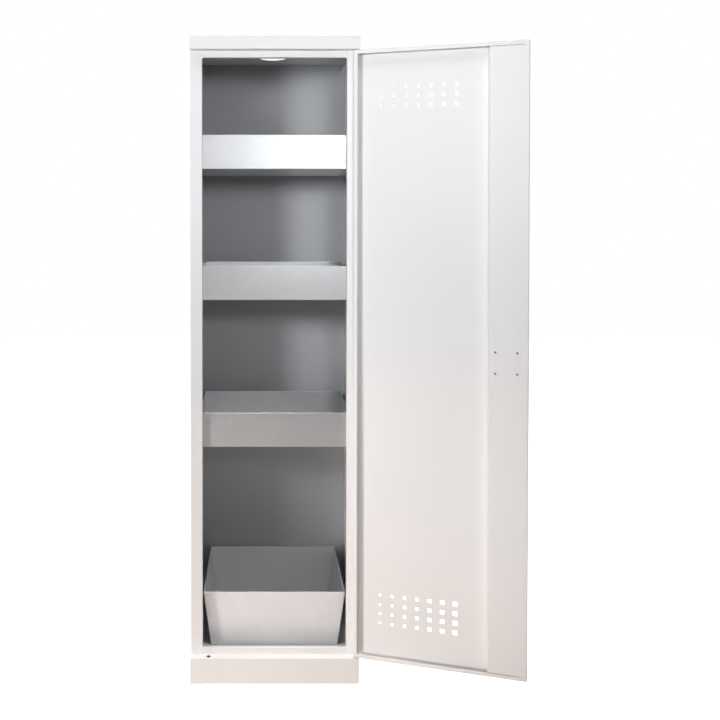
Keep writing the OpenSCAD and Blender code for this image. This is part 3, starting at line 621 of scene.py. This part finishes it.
# %% The punch tree
def punch_tree():
    """Builds the node tree that punches a grid of rectangular holes into a sheet."""
    tree, given, stop = new_tree("punch_grid", "Sheet", (
        ("Columns", "Int"), ("Rows", "Int"), ("Column pitch", "Float"), ("Row pitch", "Float"),
        ("First width", "Float"), ("Last width", "Float"), ("Height share", "Float"),
        ("Depth", "Float"), ("Centre", "Vector"), ("Turn", "Vector"), ("Finish", "Material")))

    def maths(operation, a, b):
        node = add_node(tree, "ShaderNodeMath", operation=operation)
        for socket, value in zip(node.inputs, (a, b)):
            if isinstance(value, (int, float)):
                socket.default_value = value
            else:
                tree.links.new(value, socket)
        return node.outputs[0]

    across = maths("MULTIPLY", maths("SUBTRACT", given["Columns"], 1), given["Column pitch"])
    up = maths("MULTIPLY", maths("SUBTRACT", given["Rows"], 1), given["Row pitch"])
    grid = tree.nodes.new("GeometryNodeMeshGrid")
    where = tree.nodes.new("GeometryNodeInputPosition")
    place = tree.nodes.new("ShaderNodeSeparateXYZ")
    grade = tree.nodes.new("ShaderNodeMapRange")
    wire(tree, (across, grid.inputs["Size X"]), (up, grid.inputs["Size Y"]),
         (given["Columns"], grid.inputs["Vertices X"]),
         (given["Rows"], grid.inputs["Vertices Y"]),
         (where.outputs[0], place.inputs[0]), (place.outputs["X"], grade.inputs["Value"]),
         (maths("MULTIPLY", across, -0.5), grade.inputs["From Min"]),
         (maths("MULTIPLY", across, 0.5), grade.inputs["From Max"]),
         (given["First width"], grade.inputs["To Min"]),
         (given["Last width"], grade.inputs["To Max"]))
    width = grade.outputs["Result"]
    size = tree.nodes.new("ShaderNodeCombineXYZ")
    block = add_node(tree, "GeometryNodeMeshCube", {"Size": (1.0, 1.0, 1.0)})
    put = tree.nodes.new("GeometryNodeInstanceOnPoints")
    real = tree.nodes.new("GeometryNodeRealizeInstances")
    turned = tree.nodes.new("GeometryNodeTransform")
    punched = add_node(tree, "GeometryNodeMeshBoolean", operation="DIFFERENCE", solver="EXACT")
    wire(tree, (width, size.inputs["X"]),
         (maths("MULTIPLY", width, given["Height share"]), size.inputs["Y"]),
         (given["Depth"], size.inputs["Z"]),
         (grid.outputs["Mesh"], put.inputs["Points"]),
         (block.outputs["Mesh"], put.inputs["Instance"]),
         (size.outputs[0], put.inputs["Scale"]), (put.outputs[0], real.inputs[0]),
         (real.outputs[0], turned.inputs["Geometry"]),
         (given["Centre"], turned.inputs["Translation"]),
         (given["Turn"], turned.inputs["Rotation"]),
         (given["Sheet"], punched.inputs["Mesh 1"]), (turned.outputs[0], punched.inputs["Mesh 2"]))
    end_tree(tree, punched.outputs[0], given["Finish"], stop)
    return tree


punch = punch_tree()
print("punch tree:", len(punch.nodes), "nodes")

# %% [markdown]
# ## Slotted strips
# The strips are shallow channels welded to the side panels. A rail hooks into any pair of slots,
# every 25 mm. The slots are three times as high as they are wide, which the height share sets.

# %% Slotted strips
STRIP_HEIGHTS = (79.1, 1909.9)
STRIP_BACK, STRIP_FACE, STRIP_HALF = 254, 251, 15
FIRST_SLOT, SLOT_PITCH, SLOT_WIDTH = 145, 25, 4
BARE_HEAD = 40
SLOT_ROWS = 1 + int((STRIP_HEIGHTS[1] - BARE_HEAD - FIRST_SLOT) // SLOT_PITCH)
SLOT_MIDDLE = FIRST_SLOT + (SLOT_ROWS - 1) * SLOT_PITCH / 2
PUNCH_DEPTH = 6 * MM
for side, label in ((1, "right"), (-1, "left")):
    for end, middle in (("front", 75), ("rear", 395)):
        name = f"slotted_strip_{end}_{label}"
        near, far = middle - STRIP_HALF, middle + STRIP_HALF
        channel = [(STRIP_BACK, near), (STRIP_FACE, near), (STRIP_FACE, far), (STRIP_BACK, far)]
        if side > 0:
            channel.reverse()
        outline = [(side * x, y) for x, y in channel]
        sheet = folded_strip(name, outline, *STRIP_HEIGHTS, "xyz", radius=0.9)
        sheet = run_tree(punch, sheet, name, Columns=1, Rows=SLOT_ROWS, Column_pitch=0.01,
                         Row_pitch=SLOT_PITCH * MM, First_width=SLOT_WIDTH * MM,
                         Last_width=SLOT_WIDTH * MM, Height_share=3.0, Depth=PUNCH_DEPTH,
                         Centre=Vector((side * STRIP_FACE, middle, SLOT_MIDDLE)) * MM,
                         Turn=(math.pi / 2, 0, math.pi / 2), Finish=inner_coat_painted_shade)
        # The strips take the darker inside grey too, a painted shade of the bays.
        add_piece(name + "_punched", sheet, inner_coat_painted_shade, "cabinet", "inner_grey", name)
print(SLOT_ROWS, "slots in each strip")

# %% [markdown]
# The rails hook into the slots and carry the trays. They hide behind the stiles, and their hooks
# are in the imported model, so they are copied and softened.

# %% Tray rails
for level in ("upper", "middle", "lower"):
    for label in ("left", "right"):
        node = f"tray_rail_{level}_{label}"
        add_piece(node + "_dressed", dressed_copy(node, 0.3), zinc_plate, "cabinet", "zinc_steel",
                  node)

# %% [markdown]
# ## Tray shelves and sump tray
# A tray shelf is a deep galvanised pan. Its rim is folded in and turned down, which stiffens it and
# hides the cut edge. The bends are tight, because the zinc-coated sheet is thinner than the body's.

# %% Tray shelves
TRAY_OUTLINE = (-233, 233, 37.5, 421.5)
TRAY_WALL, TRAY_RIM, HEM = 104, 2.2, 8
TRAY_LEVELS = {"upper": 1556.5, "middle": 1156.5, "lower": 706.5}
for level, height in TRAY_LEVELS.items():
    node = f"tray_{level}"
    pan = folded_pan(node, TRAY_OUTLINE, TRAY_WALL, "xyz", lips=[TRAY_RIM] * 4, turn=HEM,
                     thickness=ZINC_SHEET, radius=1.0, origin=height)
    add_piece(node + "_folded", pan, zinc_sheet, f"shelf_{level}", "galvanised", node)

# %% [markdown]
# The sump tray stands on the floor and catches what the trays can't hold. Its sides slope
# outwards, so that such trays can be stacked for transport: the taper makes its base smaller than
# its rim.

# %% Sump tray
SUMP_RIM = (-218.5, 218.5, 51.5, 469.5)
SUMP_WALL, SUMP_LIP, SUMP_TAPER, SUMP_FLOOR = 174, 3, 22, 79.3
sump = folded_pan("sump_tray", SUMP_RIM, SUMP_WALL, "xyz", lips=[SUMP_LIP] * 4, turn=HEM,
                  taper=SUMP_TAPER, thickness=ZINC_SHEET, radius=1.2, origin=SUMP_FLOOR)
add_piece("sump_tray_folded", sump, zinc_sheet_dull, "sump", "galvanised", "sump_tray")

# %% [markdown]
# ## The door
# The door is a shallow pan whose lips are folded back inwards all round, which makes a thin sheet
# stiff. The holes for the spindle, the rods and the pivot pins and a notch near the hinge are cut
# after the folding.

# %% Door pan
DOOR_EDGE, DOOR_FOOT, DOOR_HEAD = 253.5, 78.5, 1908.5
DOOR_FACE, DOOR_DEPTH = -14.5, 26
DOOR_LIPS = (12, 12, 18, 12)
SPINDLE_HOLE, DOOR_ROD_HOLE, DOOR_PIN_HOLE = 6, 4.5, 4.06
NOTCH = (217.5, 222.5, 9.5, 12.5, 88, 91.5)
door = folded_pan("door_pan", (DOOR_FOOT, DOOR_HEAD, -DOOR_EDGE, DOOR_EDGE), DOOR_DEPTH, "zxy",
                  lips=DOOR_LIPS, radius=2.8, origin=DOOR_FACE)
face_y, head_z, foot_z = DOOR_FACE + HALF_SHEET, DOOR_HEAD - HALF_SHEET, DOOR_FOOT + HALF_SHEET
tools = bmesh.new()
round_cutter(tools, LOCK_X, face_y, LOCK_Z, SPINDLE_HOLE, 6, axis="Y")
for x, z, radius in ((UPPER_ROD_X, head_z, DOOR_ROD_HOLE), (LOWER_ROD_X, foot_z, DOOR_ROD_HOLE),
                     (PIVOT_X, head_z, DOOR_PIN_HOLE), (PIVOT_X, foot_z, DOOR_PIN_HOLE)):
    round_cutter(tools, x, PIVOT_Y, z, radius, 5)
add_slab(tools, *NOTCH)
door = cut(door, tools)
print("door pan with its round holes:", len(door.polygons), "faces")

# %% [markdown]
# The cabinet breathes through two fields of square vents, at the door's foot and near its head. The
# punch tree makes both, and shrinks the vents evenly from the lock edge towards the hinge.

# %% Vents
VENT_COLUMNS, VENT_X = 7, 63.9
VENT_PITCH_X, VENT_PITCH_Z = 37.2, 28.3
LARGEST_VENT, SMALLEST_VENT = 14, 7
VENT_FIELDS = {"lower": (4, 226), "upper": (3, 1769)}
for field, (rows, middle) in VENT_FIELDS.items():
    door = run_tree(punch, door, "door_pan", Columns=VENT_COLUMNS, Rows=rows,
                    Column_pitch=VENT_PITCH_X * MM, Row_pitch=VENT_PITCH_Z * MM,
                    First_width=LARGEST_VENT * MM, Last_width=SMALLEST_VENT * MM,
                    Height_share=1.0, Depth=PUNCH_DEPTH,
                    Centre=Vector((VENT_X, face_y, middle)) * MM,
                    Turn=(math.pi / 2, 0, 0), Finish=coat)
    print(field, "vents:", rows * VENT_COLUMNS)
add_piece("door_pan_folded", door, coat, "door", "powder_grey", "door_pan", on_door=True)

# %% [markdown]
# The lock channel is a tall cover along the door's lock edge, with the lock and the two rods behind
# it. It is one strip with two folds. A window gives room for the lock, with four screw holes round
# it.

# %% Lock channel
COVER = 11.5
CHANNEL = [(-130.5, -12.5), (-142.5, -12.5), (-142.5, COVER), (-235.4, COVER)]
CHANNEL_HEIGHTS = (91.8, 1895.2)
HALF_WINDOW, SCREW_REACH, SCREW_HOLE = 25, 30.5, 1.7
channel = folded_strip("lock_channel", CHANNEL, *CHANNEL_HEIGHTS, "xyz", radius=2.2)
cover_y = COVER - HALF_SHEET
tools = bmesh.new()
add_slab(tools, LOCK_X - HALF_WINDOW, LOCK_X + HALF_WINDOW, cover_y - 3, cover_y + 3,
         LOCK_Z - HALF_WINDOW, LOCK_Z + HALF_WINDOW)
for x in (LOCK_X - SCREW_REACH, LOCK_X + SCREW_REACH):
    for z in (LOCK_Z - SCREW_REACH, LOCK_Z + SCREW_REACH):
        round_cutter(tools, x, cover_y, z, SCREW_HOLE, 5, axis="Y", segments=20)
add_piece("lock_channel_folded", cut(channel, tools), coat, "door", "powder_grey", "lock_channel",
          on_door=True)

# %% [markdown]
# ## Cover plate and screws
# A square plate closes the lock from the inside. Four pan-head screws with a cross recess hold it.
# The screw is modelled once: half its outline, given as radius and height, is spun round the axis,
# and a cross is cut out of its head.

# %% The screw
SCREW = [(0, 1.3), (1.6, 1.28), (2.7, 1.0), (3.3, 0.45), (3.5, 0), (1.6, 0), (1.6, -5.6),
         (1.2, -6), (0, -6)]
RECESS_FLOOR, RECESS_HEIGHT = 0.3, 2
RECESS_NARROW, RECESS_WIDE = 0.4, 2.1


def cross_cutter():
    """A cutter in the shape of a plus sign, standing along Y."""
    n, w = RECESS_NARROW, RECESS_WIDE
    cross = [(-w, -n), (-n, -n), (-n, -w), (n, -w), (n, -n), (w, -n), (w, n), (n, n), (n, w),
             (-n, w), (-n, n), (-w, n)]
    bm = bmesh.new()
    base = bm.faces.new([bm.verts.new((x * MM, RECESS_FLOOR * MM, z * MM)) for x, z in cross])
    pulled = bmesh.ops.extrude_face_region(bm, geom=[base])["geom"]
    bmesh.ops.translate(bm, vec=(0, RECESS_HEIGHT * MM, 0),
                        verts=[v for v in pulled if isinstance(v, bmesh.types.BMVert)])
    bmesh.ops.recalc_face_normals(bm, faces=bm.faces)
    return bm


def screw_mesh():
    """A pan-head screw along +Y, its head at y = 0 and its shank behind it."""
    bm = bmesh.new()
    verts = [bm.verts.new((r * MM, y * MM, 0)) for r, y in SCREW]
    edges = [bm.edges.new(pair) for pair in zip(verts, verts[1:])]
    bmesh.ops.spin(bm, geom=verts + edges, axis=(0, 1, 0), cent=(0, 0, 0), angle=2 * math.pi,
                   steps=24)
    bmesh.ops.remove_doubles(bm, verts=bm.verts, dist=1e-7)
    bmesh.ops.recalc_face_normals(bm, faces=bm.faces)
    return cut(mesh_from(bm, "screw"), cross_cutter())


# %% [markdown]
# A second node tree puts a copy of the screw on each corner of a rectangle. The rectangle is a grid
# of two by two points, stood upright to lie in the door's plane.

# %% Four screws
PLATE_FACE = COVER + 1.5


def fastener_tree():
    """Builds the node tree that puts a fastener on each corner of a rectangle in XZ."""
    tree, given, stop = new_tree("place_fasteners", "Fastener", (
        ("Spacing X", "Float"), ("Spacing Z", "Float"), ("Centre", "Vector"),
        ("Finish", "Material")))
    grid = add_node(tree, "GeometryNodeMeshGrid", {"Vertices X": 2, "Vertices Y": 2})
    stand = add_node(tree, "GeometryNodeTransform", {"Rotation": (math.pi / 2, 0, 0)})
    put = tree.nodes.new("GeometryNodeInstanceOnPoints")
    place = tree.nodes.new("GeometryNodeTransform")
    wire(tree, (given["Spacing X"], grid.inputs["Size X"]),
         (given["Spacing Z"], grid.inputs["Size Y"]),
         (grid.outputs["Mesh"], stand.inputs["Geometry"]),
         (stand.outputs[0], put.inputs["Points"]), (given["Fastener"], put.inputs["Instance"]),
         (put.outputs[0], place.inputs["Geometry"]),
         (given["Centre"], place.inputs["Translation"]))
    end_tree(tree, place.outputs[0], given["Finish"], stop)
    return tree


# The screws carry the darker colour, a painted shade.
screws = run_tree(fastener_tree(), screw_mesh(), "cover_screws", Spacing_X=2 * SCREW_REACH * MM,
                  Spacing_Z=2 * SCREW_REACH * MM,
                  Centre=Vector((LOCK_X, PLATE_FACE, LOCK_Z)) * MM, Finish=screw_plate_painted_shade)
add_piece("cover_screws_placed", screws, screw_plate_painted_shade, "door", "zinc_steel", "cover_screws",
          on_door=True)

# %% [markdown]
# The plate is a block with four rounded corners. Its corners are bevelled first, along Y, and then
# the rim of its visible face, so that the rim follows the corners round.

# %% Cover plate
PLATE_HALF = 36
plate = bmesh.new()
add_slab(plate, LOCK_X - PLATE_HALF, LOCK_X + PLATE_HALF, COVER, PLATE_FACE,
         LOCK_Z - PLATE_HALF, LOCK_Z + PLATE_HALF)
corners = [e for e in plate.edges if abs(e.verts[0].co.y - e.verts[1].co.y) > 1e-6]
bmesh.ops.bevel(plate, geom=corners, offset=2 * MM, segments=4, profile=0.5, affect="EDGES")
plate.normal_update()
rim = [e for e in plate.edges if all(v.co.y > (PLATE_FACE - 0.1) * MM for v in e.verts)
       and e.calc_face_angle() > 0.5]
bmesh.ops.bevel(plate, geom=rim, offset=0.4 * MM, segments=2, profile=0.5, affect="EDGES")
add_piece("lock_cover_plate_rounded", mesh_from(plate, "lock_cover_plate"), coat, "door",
          "powder_grey", "lock_cover_plate", on_door=True)

# %% [markdown]
# ## Lock, handle, rods and pivots
# The handle is moulded, so its edges are generously rounded. A voxel remesh turns the plain blocks
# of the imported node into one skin, and a smoothing pass rounds every edge and inner corner alike.

# %% Handle and rosette
def moulded_copy(node, voxel, rounds):
    """A node remade as one smooth skin, as a moulding has."""
    thing = loose_object(node + "_plain", dressed_copy(node, 0.01, 1))
    skin = thing.modifiers.new("skin", "REMESH")
    skin.mode = "VOXEL"
    skin.voxel_size = voxel * MM
    even = thing.modifiers.new("even", "SMOOTH")
    even.factor = 0.5
    even.iterations = rounds
    return bake(thing, node)


add_piece("turn_handle_moulded", moulded_copy("turn_handle", 0.8, 6), black_plastic, "handle",
          "black_plastic", "turn_handle", crease=60)
add_piece("handle_rosette_moulded", dressed_copy("handle_rosette", 1.2, 4), black_plastic, "door",
          "black_plastic", "handle_rosette")

# %% [markdown]
# The rest of the lock and the pivots are small and mostly hidden. Each is a softened copy of its
# node, with an edge radius that suits how it is made: wide on turned pins, narrow on stamped parts.

# %% Small turned and stamped parts
SMALL_PARTS = {
    "lock_case": ("door", 0.3), "top_pivot_pin": ("door", 0.5), "bottom_pivot_pin": ("door", 0.5),
    "handle_spindle": ("handle", 0.4), "lock_cam": ("handle", 0.3), "key_core": ("key", 0.4),
    "upper_rod": ("rod_up", 0.5), "lower_rod": ("rod_down", 0.5),
}
for node, (body, width) in SMALL_PARTS.items():
    add_piece(node + "_dressed", dressed_copy(node, width), zinc_plate, body, "zinc_steel", node)
add_piece("rod_guides_dressed", dressed_copy("rod_guides", 0.6), black_plastic, "door",
          "black_plastic", "rod_guides")
for node in ("top_pivot_bush", "bottom_pivot_bush"):
    add_piece(node + "_dressed", dressed_copy(node, 0.3), nylon, "cabinet", "white_nylon", node)

# %% [markdown]
# ## The studio
# The photograph has a pure white ground, several small flashes that throw hard shadows into the
# bays, and a dim room behind the camera that the galvanised trays reflect. White comes from the
# floor's and the world's own colour where the camera sees them, so the lamps can stay at a plain
# level. The floor glows less close to the cabinet's foot, which keeps the shadow there.

# %% Where the white shows
def seen_or_lit(tree, in_metal):
    """1 for what the camera sees, in_metal for what metal or glass shows, 0 on matt paint."""
    path = tree.nodes.new("ShaderNodeLightPath")
    shown = add_node(tree, "ShaderNodeMath", operation="MAXIMUM")
    weaker = add_node(tree, "ShaderNodeMath", {1: in_metal}, operation="MULTIPLY")
    either = add_node(tree, "ShaderNodeMath", operation="MAXIMUM")
    wire(tree, (path.outputs["Is Glossy Ray"], shown.inputs[0]),
         (path.outputs["Is Transmission Ray"], shown.inputs[1]),
         (shown.outputs[0], weaker.inputs[0]),
         (path.outputs["Is Camera Ray"], either.inputs[0]), (weaker.outputs[0], either.inputs[1]))
    return either.outputs[0]


# %% Floor
FLOOR_CENTRE = (0, 2, -0.0005)
CABINET_Y, CABINET_HALF = 0.235, 0.25


def floor_finish():
    """A pale floor that the camera sees white, with the object's shadow kept round its foot."""
    finish, tree, shader = new_finish("studio_floor", 0.9)
    shader.inputs["Base Color"].default_value = (0.62, 0.545, 0.5, 1)
    texture = tree.nodes.new("ShaderNodeTexCoord")
    shift = add_node(tree, "ShaderNodeMapping", {"Location": (0, FLOOR_CENTRE[1] - CABINET_Y, 0)})
    apart = add_node(tree, "ShaderNodeVectorMath", operation="ABSOLUTE")
    sides = tree.nodes.new("ShaderNodeSeparateXYZ")
    away = add_node(tree, "ShaderNodeMath", operation="MAXIMUM")
    under = add_node(tree, "ShaderNodeMapRange",
                     {"From Min": CABINET_HALF - 0.015, "From Max": CABINET_HALF, "To Max": 0.85})
    far = add_node(tree, "ShaderNodeMapRange",
                   {"From Min": CABINET_HALF, "From Max": 1.1, "To Max": 0.15})
    total = add_node(tree, "ShaderNodeMath", operation="ADD")
    level = add_node(tree, "ShaderNodeMath", operation="MULTIPLY")
    glow = add_node(tree, "ShaderNodeEmission", {"Color": (1, 1, 1, 1)})
    both = tree.nodes.new("ShaderNodeAddShader")
    wire(tree, (texture.outputs["Object"], shift.inputs["Vector"]),
         (shift.outputs["Vector"], apart.inputs[0]), (apart.outputs[0], sides.inputs[0]),
         (sides.outputs["X"], away.inputs[0]), (sides.outputs["Y"], away.inputs[1]),
         (away.outputs[0], under.inputs["Value"]), (away.outputs[0], far.inputs["Value"]),
         (under.outputs["Result"], total.inputs[0]), (far.outputs["Result"], total.inputs[1]),
         (seen_or_lit(tree, 0.3), level.inputs[0]), (total.outputs[0], level.inputs[1]),
         (level.outputs[0], glow.inputs["Strength"]), (shader.outputs[0], both.inputs[0]),
         (glow.outputs[0], both.inputs[1]),
         (both.outputs[0], tree.nodes["Material Output"].inputs["Surface"]))
    return finish


def stage_plane(name, width, depth, location, turn, finish):
    """A flat stage piece."""
    bm = bmesh.new()
    bmesh.ops.create_grid(bm, x_segments=1, y_segments=1, size=0.5)
    bmesh.ops.scale(bm, vec=(width, depth, 1), verts=bm.verts)
    plane = loose_object(name, mesh_from(bm, name))
    plane.location = location
    plane.rotation_euler = turn
    plane.data.materials.append(finish)
    return plane


floor = stage_plane("studio_floor", 14, 14, FLOOR_CENTRE, (0, 0, 0), floor_finish())
print("floor:", tuple(round(d, 2) for d in floor.dimensions), "metres")

# %% [markdown]
# Behind the camera a real studio is dim. The camera can't see it, but the trays and the sump tray
# mirror it, and without it they would be as white as the ground.

# %% Dim room behind the camera
room_finish, _, room_shader = new_finish("dim_room", 0.9)
room_shader.inputs["Base Color"].default_value = (0.32, 0.295, 0.275, 1)
for name, depth, place, turn in (("dim_room_wall", 3.4, (0, -5.2, 1.7), (math.pi / 2, 0, 0)),
                                 ("dim_room_floor", 3.3, (0, -3.55, 0.001), (0, 0, 0))):
    card = stage_plane(name, 7, depth, place, turn, room_finish)
    card.visible_camera = False
    print(name, "at", place)

# %% [markdown]
# Two flashes stand left and right of the camera, above its height. A third lights the top of the
# door, a warm one its foot, and one more comes from low on the left. A softbox and a spot hang
# above, and the spot warms the floor. Four wide fills light the sides, the back and the lid, which
# the photograph doesn't show. Lamps that would draw a glare on the trays are hidden from shiny
# metal.

# %% Helpers for lamps
def aim(lamp, name, location, target, gloss):
    """Places a lamp and turns it towards target. Without gloss, shiny metal doesn't show it."""
    holder = bpy.data.objects.new(name, lamp)
    holder.location = location
    holder.rotation_euler = (Vector(target) - Vector(location)).to_track_quat("-Z", "Y").to_euler()
    holder.visible_camera = False
    holder.visible_glossy = gloss
    scene.collection.objects.link(holder)


def spot_lamp(name, power, radius, cone, location, target, colour=(1, 1, 1), gloss=True):
    """A studio flash with a soft-edged beam."""
    lamp = bpy.data.lights.new(name, "SPOT")
    lamp.energy = power
    lamp.color = colour
    lamp.shadow_soft_size = radius
    lamp.spot_size = math.radians(cone)
    lamp.spot_blend = 1.0
    aim(lamp, name, location, target, gloss)


def soft_lamp(name, power, width, depth, location, target):
    """A rectangular softbox that shiny metal doesn't show."""
    lamp = bpy.data.lights.new(name, "AREA")
    lamp.shape = "RECTANGLE"
    lamp.size = width
    lamp.size_y = depth
    lamp.energy = power
    aim(lamp, name, location, target, gloss=False)


# %% Lamps
COOL, WARM = (0.96, 0.975, 1.0), (1.0, 0.94, 0.9)
CABINET_MIDDLE = (0, 0.25, 1.0)
# Name, power, radius, cone in degrees, place, target, colour.
spot_lamp("left_flash", 148, 0.2, 76, (-1.40, -1.92, 1.71), (0.1, 0, 1.85), COOL, gloss=False)
spot_lamp("right_flash", 62, 0.2, 60, (0.36, -2.90, 1.84), (0, 0, 1.85), COOL)
spot_lamp("front_flash", 56, 0.25, 44, (0.45, -2.6, 2.0), (0.68, 0, 1.7), gloss=False)
spot_lamp("door_flash", 104, 0.3, 32, (0.3, -2.9, 0.7), (0.94, -0.18, 0.52), WARM, gloss=False)
soft_lamp("overhead_softbox", 18, 1.6, 0.8, (0, -1.1, 3.6), (0, -0.7, 0))
spot_lamp("floor_spot", 410, 0.2, 22, (0.05, -0.75, 3.6), (0, -0.22, 0), WARM)
spot_lamp("low_left_flash", 295, 0.3, 36, (-2.6, -2.3, 0.25), (0.0, 0, 0.1), WARM)
FILLS = {"right_fill": (60, (3.2, 1.2, 1.9)), "left_fill": (60, (-3.2, 1.2, 1.9)),
         "back_fill": (60, (0, 3.9, 1.9)), "top_fill": (40, (0, 1.9, 3.2))}
for name, (power, place) in FILLS.items():
    soft_lamp(name, power, 2.0, 2.0, place, CABINET_MIDDLE)

# %% [markdown]
# The world is white where the camera looks past the floor, and a little less so where metal
# mirrors it. It gives matt paint no light, so the paint's shading comes from the lamps.

# %% White world
world = bpy.data.worlds.new("white_studio")
scene.world = world
world.use_nodes = True
sky = world.node_tree
ground = sky.nodes["Background"]
ground.inputs["Color"].default_value = (1, 1, 1, 1)
wire(sky, (seen_or_lit(sky, 0.8), ground.inputs["Strength"]))
scene.view_settings.view_transform = "Standard"
print("world:", world.name)
